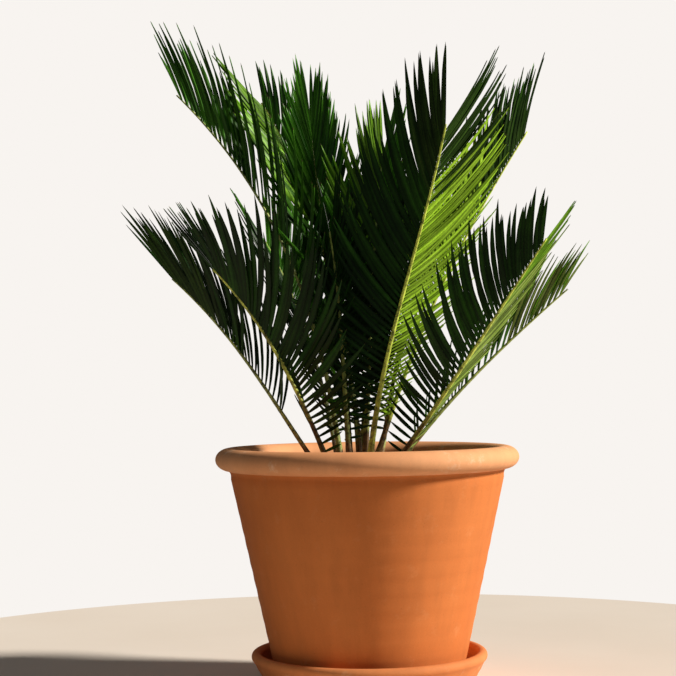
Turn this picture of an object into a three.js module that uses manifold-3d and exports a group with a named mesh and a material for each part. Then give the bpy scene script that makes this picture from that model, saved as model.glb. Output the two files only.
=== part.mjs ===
// Potted sago palm: a terracotta pot on its saucer, filled with soil, and a short stem that
// carries fourteen feather fronds. Millimetres, +Z up, origin under the middle of the saucer.
import * as THREE from 'three';
import { mergeVertices } from 'three/addons/utils/BufferGeometryUtils.js';
import Module from 'manifold-3d';

// Driving dimensions: clearances and round steps
const GAP = 0.3;
const ROUND_STEPS = 40;

// Driving dimensions: saucer
const SAUCER_RADIUS = 108.5;
const SAUCER_HEIGHT = 30;
const SAUCER_LIP = 9.5;
const SAUCER_OVERHANG = 2.5;
const SAUCER_FOOT_RADIUS = 94;
const SAUCER_FOOT_BEVEL = 2.5;
const SAUCER_FLOOR = 7;
const SAUCER_WELL_RADIUS = 89;
const SAUCER_COVE = 5;
const LIP_STEPS = 7;

// Driving dimensions: pot
const POT_FOOT_RADIUS = 86.4;
const POT_HEIGHT = 209.5;
const POT_NECK_RADIUS = 126;
const POT_WALL = 11;
const POT_FLOOR = 12;
const POT_COVE = 6;
const DRAIN_RADIUS = 12;
const RIM_RADIUS = 140.5;
const RIM_HEIGHT = 20.6;
const RIM_WIDTH = 25.5;
const RIM_STEPS = 9;
const NECK_HEIGHT = 8;
const NECK_FLARE = 3.5;
const FOOT_BEVEL = 2.5;

// Driving dimensions: soil and stem
const SOIL_LEVEL = 172;
const SOIL_FALL = 5;
const SOIL_LEVEL_RADIUS = 66;
const STEM_CENTRE_X = -9;
const STEM_RADIUS = 36;
const STEM_FOOT_RADIUS = 31;
const STEM_WAIST_LEVEL = 9;
const STEM_HEIGHT = 20;
const STEM_STEPS = 7;

// Driving dimensions: fronds
const STALK_RADIUS = 2.9;
const RIB_TIP_RADIUS = 1.1;
const RIB_BEND = 0.8;
const RIB_SIDES = 4;
const RIB_STEPS = 10;
const RIB_REACH = 0.36;
const LEAVES_A_SIDE = 20;
const LEAF_WIDTH = 8.5;
const LEAF_THICKNESS = 1.4;
const LEAF_WIDEST = 0.2;
const LEAF_ROLL = 38;
const LEAF_TURNS = [0, 7, -7, 14, -14, 21];
const LEAF_FIRST = 0.15;
const LEAF_FULL = 0.55;
const LEAF_RISE_BEND = 1.5;
const LEAF_FADES = 0.66;
const LEAF_FADE_BEND = 1.6;
const LEAF_OPEN_BEND = 1.1;
const LEAF_TIP_TURN = 0.85;
const LEAF_SINK = 0.6;
const BLADE_END = 0.985;
const FOOT_SINK = 5;

// One row for each frond. foot is the radius and the compass angle of its place on the stem,
// heading the way it leans, tip where its rib ends, lean how far the rib stands off upright
// at its foot and at its tip, twist the turn of the blade, fold how far its two rows of
// leaves are raised, open and close the angle of the leaves to the rib at the blade's foot
// and tip, leaf the longest leaf, last the length share of the last one, and bare the
// leafless share. Pairs are for the left and the right row as seen from outside.
const FRONDS = [
  { name: 'frond_upper_left', foot: [14, 172], heading: 172, tip: [-176, 28, 551],
    lean: [6, 45], twist: -4, fold: 46, open: 84, close: [35, 35], leaf: 136,
    last: [0.47, 0.47], bare: 0.14 },
  { name: 'frond_top_left', foot: [12, 125], heading: 145, tip: [-98, 80, 552],
    lean: [1, 35], twist: 0, fold: 35, open: 84, close: [16, 14], leaf: 105,
    last: [0.5, 0.5], bare: 0.14 },
  { name: 'frond_top_centre', foot: [12, 75], heading: 105, tip: [-50, 60, 530],
    lean: [8, 12], twist: 10, fold: 30, open: 84, close: [8, 10], leaf: 100,
    last: [0.75, 0.8], bare: 0.14 },
  { name: 'frond_top_inner', foot: [8, 30], heading: 60, tip: [20, 40, 496],
    lean: [6, 14], twist: 0, fold: 30, open: 84, close: [12, 12], leaf: 102,
    last: [0.7, 0.7], bare: 0.16 },
  { name: 'frond_front_right_high', foot: [20, 300], heading: 300, tip: [71, -95, 500],
    lean: [10, 22], twist: -20, fold: 30, open: 84, close: [17, 34], leaf: 126,
    last: [0.64, 0.68], bare: 0.16 },
  { name: 'frond_upper_right', foot: [15, 25], heading: 12, tip: [158, 40, 514],
    lean: [18, 34], twist: 0, fold: 50, open: 84, close: [40, 36], leaf: 108,
    last: [0.76, 0.76], bare: 0.16 },
  { name: 'frond_front_right_low', foot: [30, 325], heading: 325, tip: [157, -96, 399],
    lean: [41, 38], twist: -22, fold: 34, open: 86, close: [12, 10], leaf: 100,
    last: [0.44, 0.5], bare: 0.12 },
  { name: 'frond_right_low', foot: [28, 352], heading: 3, tip: [190, 10, 361],
    lean: [41, 50], twist: 0, fold: 50, open: 84, close: [22, 22], leaf: 88,
    last: [0.6, 0.6], bare: 0.18 },
  { name: 'frond_left_low', foot: [30, 190], heading: 188, tip: [-177, -20, 373],
    lean: [34, 48], twist: 0, fold: 30, open: 80, close: [12, 12], leaf: 105,
    last: [0.74, 0.74], bare: 0.25 },
  { name: 'frond_front_left_low', foot: [27, 218], heading: 218, tip: [-134, -90, 376],
    lean: [26, 50], twist: 0, fold: 38, open: 86, close: [16, 16], leaf: 118,
    last: [0.62, 0.62], bare: 0.11 },
  { name: 'frond_inner_left', foot: [13, 240], heading: 225, tip: [-32, -16, 415],
    lean: [6, 12], twist: 0, fold: 32, open: 84, close: [15, 15], leaf: 88,
    last: [0.7, 0.7], bare: 0.14 },
  { name: 'frond_back_right', foot: [25, 42], heading: 35, tip: [85, 110, 425],
    lean: [15, 42], twist: 0, fold: 32, open: 84, close: [18, 18], leaf: 105,
    last: [0.7, 0.7], bare: 0.16 },
  { name: 'frond_back_centre', foot: [24, 82], heading: 75, tip: [28, 140, 440],
    lean: [15, 40], twist: 0, fold: 32, open: 84, close: [18, 18], leaf: 105,
    last: [0.7, 0.7], bare: 0.16 },
  { name: 'frond_back_left', foot: [24, 130], heading: 128, tip: [-98, 125, 420],
    lean: [15, 42], twist: 0, fold: 32, open: 84, close: [18, 18], leaf: 105,
    last: [0.7, 0.7], bare: 0.16 },
];

const UP = new THREE.Vector3(0, 0, 1);
const wasm = await Module();
wasm.setup();

const plant = new THREE.Group();

function addMesh(name, geometry, material) {
  const mesh = new THREE.Mesh(geometry, material);
  mesh.name = name;
  plant.add(mesh);
}

// Closed solids pass to and from the boolean library as bare vertices and triangles
function solidOf(positions, triangles) {
  return new wasm.Manifold(new wasm.Mesh({
    numProp: 3,
    vertProperties: Float32Array.from(positions),
    triVerts: Uint32Array.from(triangles),
  }));
}

function solidOfGeometry(geometry) {
  const bare = geometry.clone();
  bare.deleteAttribute('normal');
  bare.deleteAttribute('uv');
  const merged = mergeVertices(bare, 1e-4);
  return solidOf(merged.attributes.position.array, merged.index.array);
}

function geometryOfSolid(solid) {
  const { vertProperties, triVerts } = solid.getMesh();
  const geometry = new THREE.BufferGeometry();
  geometry.setAttribute('position', new THREE.BufferAttribute(vertProperties, 3));
  geometry.setIndex(new THREE.BufferAttribute(triVerts, 1));
  geometry.computeVertexNormals();
  return geometry;
}

// Turned pieces: an outline of radius and height, turned round the upright axis
function turned(outline) {
  const points = outline.map(([radius, height]) => new THREE.Vector2(radius, height));
  return new THREE.LatheGeometry(points, ROUND_STEPS).rotateX(Math.PI / 2);
}

function arc(centreRadius, centreHeight, radius, height, fromDegrees, toDegrees, steps) {
  const points = [];
  for (let i = 0; i <= steps; i += 1) {
    const angle = THREE.MathUtils.degToRad(fromDegrees + (toDegrees - fromDegrees) * i / steps);
    points.push([centreRadius + radius * Math.cos(angle), centreHeight + height * Math.sin(angle)]);
  }
  return points;
}

// Saucer: a flat dish with a thick round lip
function saucerOutline() {
  const lip = SAUCER_LIP / 2;
  const lipLevel = SAUCER_HEIGHT - lip;
  return [
    [0, 0],
    [SAUCER_FOOT_RADIUS, 0],
    [SAUCER_FOOT_RADIUS + SAUCER_FOOT_BEVEL, SAUCER_FOOT_BEVEL],
    [SAUCER_RADIUS - SAUCER_OVERHANG, lipLevel - lip],
    ...arc(SAUCER_RADIUS - lip, lipLevel, lip, lip, -30, 180, LIP_STEPS),
    [SAUCER_WELL_RADIUS + SAUCER_COVE, SAUCER_FLOOR + SAUCER_COVE],
    [SAUCER_WELL_RADIUS, SAUCER_FLOOR],
    [0, SAUCER_FLOOR],
  ];
}

// Pot: a straight tapered wall under a thick rolled rim, with a drain hole in its floor
const POT_BASE = SAUCER_FLOOR + GAP;
const POT_TOP = POT_BASE + POT_HEIGHT;
const RIM_LEVEL = POT_TOP - RIM_HEIGHT / 2;
const RIM_CENTRE = RIM_RADIUS - RIM_WIDTH / 2;
const NECK_LEVEL = POT_TOP - RIM_HEIGHT - NECK_HEIGHT;
const WALL_SLOPE = (POT_NECK_RADIUS - POT_FOOT_RADIUS) / (NECK_LEVEL - POT_BASE);

function innerRadius(level) {
  return POT_FOOT_RADIUS + WALL_SLOPE * (level - POT_BASE) - POT_WALL;
}

function potOutline() {
  const floor = POT_BASE + POT_FLOOR;
  return [
    [DRAIN_RADIUS, POT_BASE],
    [POT_FOOT_RADIUS - FOOT_BEVEL, POT_BASE],
    [POT_FOOT_RADIUS, POT_BASE + FOOT_BEVEL],
    [POT_NECK_RADIUS, NECK_LEVEL],
    [POT_NECK_RADIUS + NECK_FLARE, NECK_LEVEL + NECK_HEIGHT],
    ...arc(RIM_CENTRE, RIM_LEVEL, RIM_WIDTH / 2, RIM_HEIGHT / 2, -65, 180, RIM_STEPS),
    [innerRadius(NECK_LEVEL), NECK_LEVEL],
    [innerRadius(floor + POT_COVE), floor + POT_COVE],
    [innerRadius(floor) - POT_COVE, floor],
    [DRAIN_RADIUS, floor],
    [DRAIN_RADIUS, POT_BASE],
  ];
}

// Soil: fills the pot and lies a little lower along the wall
function soilOutline() {
  const floor = POT_BASE + POT_FLOOR + GAP;
  const edge = SOIL_LEVEL - SOIL_FALL;
  return [
    [0, floor],
    [innerRadius(floor) - POT_COVE - GAP, floor],
    [innerRadius(floor + POT_COVE) - GAP, floor + POT_COVE],
    [innerRadius(edge) - GAP, edge],
    [SOIL_LEVEL_RADIUS, SOIL_LEVEL],
    [0, SOIL_LEVEL],
  ];
}

// Stem: a short bulb with a flat cut on the soil and a domed crown
function stemOutline(grow) {
  const foot = SOIL_LEVEL + GAP - grow;
  const waist = SOIL_LEVEL + GAP + STEM_WAIST_LEVEL;
  const dome = STEM_HEIGHT - STEM_WAIST_LEVEL + grow;
  return [
    [0, foot],
    [STEM_FOOT_RADIUS + grow, foot],
    ...arc(0, waist, STEM_RADIUS + grow, dome, 0, 90, STEM_STEPS),
  ];
}

// Frond: its rib is one smooth curve from the stem to the tip of the blade
function heading(leanDegrees, headingDegrees) {
  const lean = THREE.MathUtils.degToRad(leanDegrees);
  const round = THREE.MathUtils.degToRad(headingDegrees);
  const out = Math.sin(lean);
  return new THREE.Vector3(out * Math.cos(round), out * Math.sin(round), Math.cos(lean));
}

function ribCurve(row) {
  const [radius, angle] = row.foot;
  const waist = SOIL_LEVEL + GAP + STEM_WAIST_LEVEL;
  const dome = STEM_HEIGHT - STEM_WAIST_LEVEL;
  const level = waist + dome * Math.sqrt(1 - (radius / STEM_RADIUS) ** 2);
  const foot = heading(90, angle).multiplyScalar(radius);
  foot.add(new THREE.Vector3(STEM_CENTRE_X, 0, level));
  const tip = new THREE.Vector3(...row.tip);
  const pull = foot.distanceTo(tip) * RIB_REACH;
  const footWay = heading(row.lean[0], row.heading);
  const tipWay = heading(row.lean[1], row.heading);
  return new THREE.CubicBezierCurve3(
    foot,
    foot.clone().addScaledVector(footWay, pull),
    tip.clone().addScaledVector(tipWay, -pull),
    tip,
  );
}

// The rib's frame at a share of its length: along it, up out of the blade, and across it
function frameAt(curve, row, share) {
  const along = curve.getTangentAt(share);
  const out = heading(90, row.heading);
  const rise = UP.clone().multiplyScalar(along.dot(out)).addScaledVector(out, -along.dot(UP));
  rise.addScaledVector(along, -rise.dot(along)).normalize();
  const across = new THREE.Vector3().crossVectors(along, rise);
  const twist = THREE.MathUtils.degToRad(row.twist);
  rise.applyAxisAngle(along, twist);
  across.applyAxisAngle(along, twist);
  return { place: curve.getPointAt(share), along, rise, across };
}

function ribRadius(share) {
  return THREE.MathUtils.lerp(STALK_RADIUS, RIB_TIP_RADIUS, share ** RIB_BEND);
}

function ribSolid(curve, row) {
  const positions = [];
  const triangles = [];
  const rings = RIB_STEPS + 1;
  for (let i = 0; i < rings; i += 1) {
    const share = i / RIB_STEPS;
    const frame = frameAt(curve, row, share);
    if (i === 0) frame.place.addScaledVector(frame.along, -FOOT_SINK);
    for (let j = 0; j < RIB_SIDES; j += 1) {
      const angle = 2 * Math.PI * (j + 0.5) / RIB_SIDES;
      const corner = frame.place.clone()
        .addScaledVector(frame.across, ribRadius(share) * Math.cos(angle))
        .addScaledVector(frame.rise, ribRadius(share) * Math.sin(angle));
      positions.push(corner.x, corner.y, corner.z);
    }
  }
  for (let i = 0; i < RIB_STEPS; i += 1) {
    for (let j = 0; j < RIB_SIDES; j += 1) {
      const a = i * RIB_SIDES + j;
      const b = i * RIB_SIDES + (j + 1) % RIB_SIDES;
      triangles.push(a, a + RIB_SIDES, b, b, a + RIB_SIDES, b + RIB_SIDES);
    }
  }
  const last = RIB_STEPS * RIB_SIDES;
  for (let j = 1; j < RIB_SIDES - 1; j += 1) {
    triangles.push(0, j, j + 1, last, last + j + 1, last + j);
  }
  return solidOf(positions, triangles);
}

// Leaf: how long it is and how far it stands off the rib, by its share of the blade
function ofSide(pair, side) {
  return pair[side > 0 ? 0 : 1];
}

function leafLength(row, share, side) {
  const risen = Math.sin(Math.PI / 2 * Math.min(share / LEAF_FULL, 1)) ** LEAF_RISE_BEND;
  const faded = Math.max(0, (share - LEAF_FADES) / (1 - LEAF_FADES)) ** LEAF_FADE_BEND;
  const last = ofSide(row.last, side);
  return row.leaf * THREE.MathUtils.lerp(LEAF_FIRST, 1, risen) * (1 - (1 - last) * faded);
}

function leafAngle(row, share, side) {
  const close = ofSide(row.close, side);
  return THREE.MathUtils.lerp(close, row.open, (1 - share) ** LEAF_OPEN_BEND);
}

// A leaf has six faces: a sunk root point, two edges and a ridge where it is widest, and its tip
function leafSolid(curve, row, share, side, turn, grow) {
  const along = THREE.MathUtils.lerp(row.bare, BLADE_END, share);
  const frame = frameAt(curve, row, along);
  const angle = THREE.MathUtils.degToRad(leafAngle(row, share, side));
  const fold = THREE.MathUtils.degToRad(row.fold + turn);
  const roll = THREE.MathUtils.degToRad(LEAF_ROLL);
  const length = leafLength(row, share, side);
  const out = frame.across.clone().multiplyScalar(side * Math.cos(fold))
    .addScaledVector(frame.rise, Math.sin(fold));
  const way = frame.along.clone().multiplyScalar(Math.cos(angle))
    .addScaledVector(out, Math.sin(angle));
  const tipWay = frame.along.clone().multiplyScalar(Math.cos(angle * LEAF_TIP_TURN))
    .addScaledVector(out, Math.sin(angle * LEAF_TIP_TURN));
  const edge = frame.along.clone().addScaledVector(way, -frame.along.dot(way)).normalize();
  const face = new THREE.Vector3().crossVectors(way, edge);
  edge.applyAxisAngle(way, side * roll);
  face.applyAxisAngle(way, side * roll);
  const sink = LEAF_SINK * ribRadius(along) / Math.sin(angle);
  const root = frame.place.clone().addScaledVector(way, -sink);
  const middle = frame.place.clone().addScaledVector(way, length * LEAF_WIDEST);
  const tip = middle.clone().addScaledVector(tipWay, length * (1 - LEAF_WIDEST) + grow);
  const halfWidth = LEAF_WIDTH / 2 + grow;
  const corners = [
    root,
    middle.clone().addScaledVector(edge, halfWidth).addScaledVector(face, -grow),
    middle.clone().addScaledVector(face, LEAF_THICKNESS + grow),
    middle.clone().addScaledVector(edge, -halfWidth).addScaledVector(face, -grow),
    tip,
  ];
  const positions = corners.flatMap((corner) => corner.toArray());
  const triangles = [0, 2, 1, 0, 3, 2, 0, 1, 3, 4, 1, 2, 4, 2, 3, 4, 3, 1];
  return solidOf(positions, triangles);
}

const terracotta = new THREE.MeshStandardMaterial({ color: 0xc46f3f, roughness: 0.85, metalness: 0 });
const soil = new THREE.MeshStandardMaterial({ color: 0x3b2a1e, roughness: 1, metalness: 0 });
const bark = new THREE.MeshStandardMaterial({ color: 0x5a4331, roughness: 0.95, metalness: 0 });
const foliage = new THREE.MeshStandardMaterial({ color: 0x2f5a1f, roughness: 0.45, metalness: 0 });

addMesh('saucer', turned(saucerOutline()), terracotta);
addMesh('pot', turned(potOutline()), terracotta);
addMesh('potting_soil', turned(soilOutline()), soil);
addMesh('stem', turned(stemOutline(0)).translate(STEM_CENTRE_X, 0, 0), bark);

// All ribs are placed first, then the leaves from the tips down. A leaf that would touch
// another frond is turned a little, and is skipped if no turn frees it.
const stemCutter = solidOfGeometry(turned(stemOutline(GAP)).translate(STEM_CENTRE_X, 0, 0));
const fronds = FRONDS.map((row) => {
  const curve = ribCurve(row);
  const rib = ribSolid(curve, row).subtract(stemCutter);
  return { row, curve, rib, leaves: [], guards: [rib] };
});

function touchesAnother(frond, leaf) {
  const box = leaf.boundingBox();
  for (const other of fronds) {
    if (other === frond) continue;
    for (const guard of other.guards) {
      const b = guard.boundingBox();
      const apart = [0, 1, 2].some((k) => box.min[k] > b.max[k] || box.max[k] < b.min[k]);
      if (!apart && !leaf.intersect(guard).isEmpty()) return true;
    }
  }
  return false;
}

for (let step = LEAVES_A_SIDE - 1; step >= 0; step -= 1) {
  for (const frond of fronds) {
    for (const side of [1, -1]) {
      const share = (step + (side < 0 ? 0.5 : 0)) / (LEAVES_A_SIDE - 0.5);
      const turn = LEAF_TURNS.find((degrees) => !touchesAnother(
        frond,
        leafSolid(frond.curve, frond.row, share, side, degrees, GAP),
      ));
      if (turn === undefined) continue;
      const leaf = leafSolid(frond.curve, frond.row, share, side, turn, 0);
      frond.leaves.push(leaf);
      frond.guards.push(leaf);
    }
  }
}

for (const frond of fronds) {
  const solid = frond.leaves.reduce((whole, leaf) => whole.add(leaf), frond.rib);
  addMesh(frond.row.name, geometryOfSolid(solid), foliage);
}

export default plant;
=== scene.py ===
import math
import random
from itertools import product

import bpy
import numpy as np
from mathutils import Matrix, Vector, noise


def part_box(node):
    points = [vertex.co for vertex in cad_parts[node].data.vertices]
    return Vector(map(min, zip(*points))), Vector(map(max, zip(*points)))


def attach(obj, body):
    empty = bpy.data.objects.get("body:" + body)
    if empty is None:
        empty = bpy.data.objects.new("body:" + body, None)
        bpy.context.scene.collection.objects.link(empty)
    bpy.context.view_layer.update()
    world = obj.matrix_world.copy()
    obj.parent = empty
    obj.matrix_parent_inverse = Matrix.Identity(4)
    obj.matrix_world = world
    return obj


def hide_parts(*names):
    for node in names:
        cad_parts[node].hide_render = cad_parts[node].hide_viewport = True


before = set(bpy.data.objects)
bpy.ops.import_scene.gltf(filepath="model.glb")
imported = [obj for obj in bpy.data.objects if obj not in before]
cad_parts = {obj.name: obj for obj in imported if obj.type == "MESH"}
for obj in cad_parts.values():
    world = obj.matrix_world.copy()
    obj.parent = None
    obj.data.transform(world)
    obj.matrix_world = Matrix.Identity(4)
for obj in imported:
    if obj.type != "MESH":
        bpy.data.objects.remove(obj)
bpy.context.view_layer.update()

# Saucer. A dish thrown on the wheel from red clay and fired once, without a glaze. Its lip is
# rolled over into a thick round edge, and it stands on a flat foot that was cut with a wire.
saucer_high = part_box("saucer")[1]
SAUCER_LIP = 0.0095
SAUCER_OVERHANG = 0.0025
SAUCER_FOOT_RADIUS = 0.094
SAUCER_FOOT_BEVEL = 0.0025
SAUCER_FLOOR = 0.007
SAUCER_WELL_RADIUS = 0.089
SAUCER_COVE = 0.005
SAUCER_SIDES = 144
FINGER_RIDGE = 0.00018
CLAY_EDGE = math.radians(50)


def round_stretch(centre, radii, degrees, steps):
    """Points of radius and level on an arc round a centre."""
    angles = [math.radians(degrees[0] + (degrees[1] - degrees[0]) * i / steps)
              for i in range(steps + 1)]
    return [(centre[0] + radii[0] * math.cos(a), centre[1] + radii[1] * math.sin(a))
            for a in angles]


def pulled_stretch(start, end, rings, ridge):
    """Points on a straight wall that keeps the soft ridges of the potter's fingers."""
    points = []
    for i in range(1, rings):
        share = i / rings
        swell = ridge * math.sin(math.tau * i / 4) * math.sin(math.pi * share)
        points.append((start[0] + (end[0] - start[0]) * share + swell,
                       start[1] + (end[1] - start[1]) * share))
    return [start, *points, end]


def open_disc(sides, radius=1, level=0):
    """A flat disc in edit mode, selected all over and ready to be pulled up."""
    bpy.ops.object.select_all(action="DESELECT")
    bpy.ops.mesh.primitive_circle_add(vertices=sides, radius=radius, fill_type="NGON",
                                      location=(0, 0, level))
    piece = bpy.context.object
    bpy.ops.object.transform_apply(location=True, rotation=False, scale=False)
    bpy.ops.object.mode_set(mode="EDIT")
    bpy.ops.mesh.select_mode(type="FACE")
    bpy.ops.mesh.select_all(action="SELECT")
    return piece


def pull_up(step):
    bpy.ops.mesh.extrude_region_move(TRANSFORM_OT_translate={"value": (0, 0, step)})


def throw_on_wheel(name, outline, sides):
    """Pulls clay up from a round slab, ring by ring, along an outline of radius and level."""
    radius, level = outline[0]
    piece = open_disc(sides, radius, level)
    piece.name = name
    for next_radius, next_level in outline[1:]:
        pull_up(next_level - level)
        spread = next_radius / radius
        bpy.ops.transform.resize(value=(spread, spread, 1), center_override=(0, 0, next_level))
        radius, level = next_radius, next_level
    bpy.ops.mesh.select_all(action="SELECT")
    bpy.ops.mesh.normals_make_consistent(inside=False)
    bpy.ops.object.mode_set(mode="OBJECT")
    return piece


def leave_hand_made(piece, amount, size, seed):
    """Lets the wall run a hair out of round, as on any pot that dried and was fired."""
    for vertex in piece.data.vertices:
        place = vertex.co
        swing = noise.noise(place / size + Vector((seed, seed, 0)))
        outwards = Vector((place.x, place.y, 0))
        if outwards.length > size / 10:
            vertex.co = place + outwards.normalized() * swing * amount


lip = SAUCER_LIP / 2
lip_level = saucer_high.z - lip
saucer_radius = saucer_high.x
saucer_outline = [
    (SAUCER_FOOT_RADIUS * 0.5, 0),
    (SAUCER_FOOT_RADIUS, 0),
    (SAUCER_FOOT_RADIUS + SAUCER_FOOT_BEVEL * 0.6, SAUCER_FOOT_BEVEL * 0.25),
    (SAUCER_FOOT_RADIUS + SAUCER_FOOT_BEVEL, SAUCER_FOOT_BEVEL),
    *pulled_stretch((SAUCER_FOOT_RADIUS + SAUCER_FOOT_BEVEL * 1.2, SAUCER_FOOT_BEVEL * 1.6),
                    (saucer_radius - SAUCER_OVERHANG, lip_level - lip), 8, FINGER_RIDGE),
    *round_stretch((saucer_radius - lip, lip_level), (lip, lip), (-40, 190), 18),
    *pulled_stretch((SAUCER_WELL_RADIUS + SAUCER_COVE * 1.5, SAUCER_FLOOR + SAUCER_COVE * 2),
                    (SAUCER_WELL_RADIUS + SAUCER_COVE, SAUCER_FLOOR + SAUCER_COVE), 3, 0),
    *round_stretch((SAUCER_WELL_RADIUS, SAUCER_FLOOR + SAUCER_COVE),
                   (SAUCER_COVE, SAUCER_COVE), (-10, -90), 5),
    (SAUCER_WELL_RADIUS * 0.8, SAUCER_FLOOR),
]
saucer = throw_on_wheel("thrown_saucer", saucer_outline, SAUCER_SIDES)
leave_hand_made(saucer, amount=0.0004, size=0.06, seed=3)
bpy.ops.object.shade_smooth_by_angle(angle=CLAY_EDGE)


def paint(red, green, blue):
    """A colour read as screen values from 0 to 255, as the linear one that a shader takes."""
    def linear(value):
        share = value / 255
        return share / 12.92 if share <= 0.04045 else ((share + 0.055) / 1.055) ** 2.4
    return (linear(red), linear(green), linear(blue), 1)


def feed(made, links):
    """Feeds a node's sockets by name, each from a value or from another node's socket."""
    for socket, source in links.items():
        if isinstance(source, bpy.types.NodeSocket):
            made.id_data.links.new(source, made.inputs[socket])
        else:
            made.inputs[socket].default_value = source


def node(tree, kind, links=None, **settings):
    """Adds a node, sets its options and feeds its sockets."""
    made = tree.nodes.new("ShaderNode" + kind)
    for key, value in settings.items():
        setattr(made, key, value)
    feed(made, links or {})
    return made


def ramp(source, *stops):
    """A colour ramp over a value. A stop is a position and a colour, or a number for a grey."""
    made = node(source.id_data, "ValToRGB", {"Fac": source})
    elements = made.color_ramp.elements
    while len(elements) < len(stops):
        elements.new(0.5)
    for element, (position, colour) in zip(elements, stops):
        element.position = position
        element.color = colour if isinstance(colour, tuple) else (colour, colour, colour, 1)
    return made.outputs["Color"]


def grain(place, scale, detail, roughness=0.5, distortion=0):
    """Noise from 0 to 1 over a place."""
    return node(place.id_data, "TexNoise",
                {"Vector": place, "Scale": scale, "Detail": detail, "Roughness": roughness,
                 "Distortion": distortion}).outputs["Fac"]


def drawn_out(place, scale):
    """A place measured by its own scale along each axis, which draws a pattern out."""
    return node(place.id_data, "Mapping", {"Vector": place, "Scale": scale}).outputs["Vector"]


def blended(share, first, second, way="MIX"):
    """The first colour with a share of the second mixed in."""
    return node(first.id_data, "Mix", {"Factor": share, "A": first, "B": second},
                data_type="RGBA", blend_type=way).outputs["Result"]


def tinted(colour, tint):
    return blended(1.0, colour, tint, "MULTIPLY")


def reckoned(operation, *values):
    """What a sum such as MULTIPLY makes of its values, of which the first is a socket."""
    return node(values[0].id_data, "Math", dict(enumerate(values)),
                operation=operation).outputs["Value"]


def ranged(value, low, high, start=0, end=1):
    """A value that runs from low to high while another runs from start to end."""
    return node(value.id_data, "MapRange",
                {"Value": value, "From Min": start, "From Max": end, "To Min": low,
                 "To Max": high}).outputs["Result"]


def new_group(name, inputs):
    """An empty shader node group with named inputs, each of the kind given for it."""
    group = bpy.data.node_groups.new(name, "ShaderNodeTree")
    for socket, kind in inputs.items():
        group.interface.new_socket(socket, in_out="INPUT", socket_type="NodeSocket" + kind)
    return group, group.nodes.new("NodeGroupInput").outputs


def put_out(group, results):
    """Gives a group its outputs, a colour and values, with what feeds each of them."""
    for socket in results:
        kind = "Color" if socket == "Colour" else "Float"
        group.interface.new_socket(socket, in_out="OUTPUT", socket_type="NodeSocket" + kind)
    feed(group.nodes.new("NodeGroupOutput"), results)


def new_material(name):
    """A new material, and the socket that gives a place on the piece."""
    material = bpy.data.materials.new(name)
    material.use_nodes = True
    return material, node(material.node_tree, "TexCoord").outputs["Object"]


def coat(material, looks, relief=None):
    """Feeds a material's surface, also with the bump of a height, its strength and its depth."""
    shader = material.node_tree.nodes["Principled BSDF"]
    feed(shader, looks)
    if relief:
        bump = node(shader.id_data, "Bump", dict(zip(("Height", "Strength", "Distance"), relief)))
        feed(shader, {"Normal": bump.outputs["Normal"]})


def material_of(name, group, values, relief, looks):
    """A material with a group's colour, roughness and height, a bump's strength and depth."""
    material, place = new_material(name)
    effect = node(material.node_tree, "Group", {"Place": place, **values},
                  node_tree=group, name="effect")
    given = {"Base Color": effect.outputs["Colour"], **looks}
    if "Roughness" in effect.outputs:
        given["Roughness"] = effect.outputs["Roughness"]
    coat(material, given, (effect.outputs["Height"], *relief))
    return material


# Fired clay, for saucer and pot: an even orange skin, a little darker where the kiln was
# hotter, wiped with faint upright streaks, and with fine grog that shows as specks and pits.
clay_group, clay = new_group("fired_clay", {"Place": "Vector", "Body": "Color", "Deep": "Color",
                                            "Lime": "Color", "Lime Share": "Float"})
clouds = grain(clay["Place"], 9, 4, distortion=0.3)
clouded = blended(ramp(clouds, (0.3, 0), (0.7, 0.7)), clay["Body"], clay["Deep"])
streaks = grain(drawn_out(clay["Place"], (1, 1, 0.07)), 75, 4, 0.55)
streaked = tinted(clouded, ramp(streaks, (0.3, 0.93), (0.5, 1), (0.7, 1.05)))
lime = ramp(grain(clay["Place"], 48, 8, 0.7), (0.58, 0), (0.76, 1))
limed = blended(reckoned("MULTIPLY", lime, clay["Lime Share"]), streaked, clay["Lime"])
grog = grain(clay["Place"], 620, 3, 0.7)
speckled = tinted(limed, ramp(grog, (0.24, 0.7), (0.34, 0.96), (0.64, 1), (0.8, 1.12)))
bands = node(clay_group, "TexWave",
             {"Vector": clay["Place"], "Scale": 42, "Distortion": 1.6, "Detail": 3,
              "Detail Scale": 0.6}, wave_type="BANDS", bands_direction="Z")
skin = reckoned("MULTIPLY_ADD", bands.outputs["Fac"], 0.3, grog)
pits = node(clay_group, "TexVoronoi", {"Vector": clay["Place"], "Scale": 260})
pit_depth = ramp(pits.outputs["Distance"], (0.0, 0), (0.12, 1))
put_out(clay_group, {"Colour": speckled, "Roughness": ranged(clouds, 0.9, 0.72),
                     "Height": reckoned("MULTIPLY_ADD", pit_depth, 0.4, skin)})


def clay_material(name, body, deep, lime_colour, lime_share):
    return material_of(name, clay_group, {"Body": body, "Deep": deep, "Lime": lime_colour,
                                          "Lime Share": lime_share},
                       (0.25, 0.0003), {"Specular IOR Level": 0.3})


saucer.data.materials.append(clay_material(
    "saucer_clay", paint(216, 138, 82), paint(200, 114, 58), paint(240, 202, 160), 0.45))
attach(saucer, "root")
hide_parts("saucer")

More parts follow.
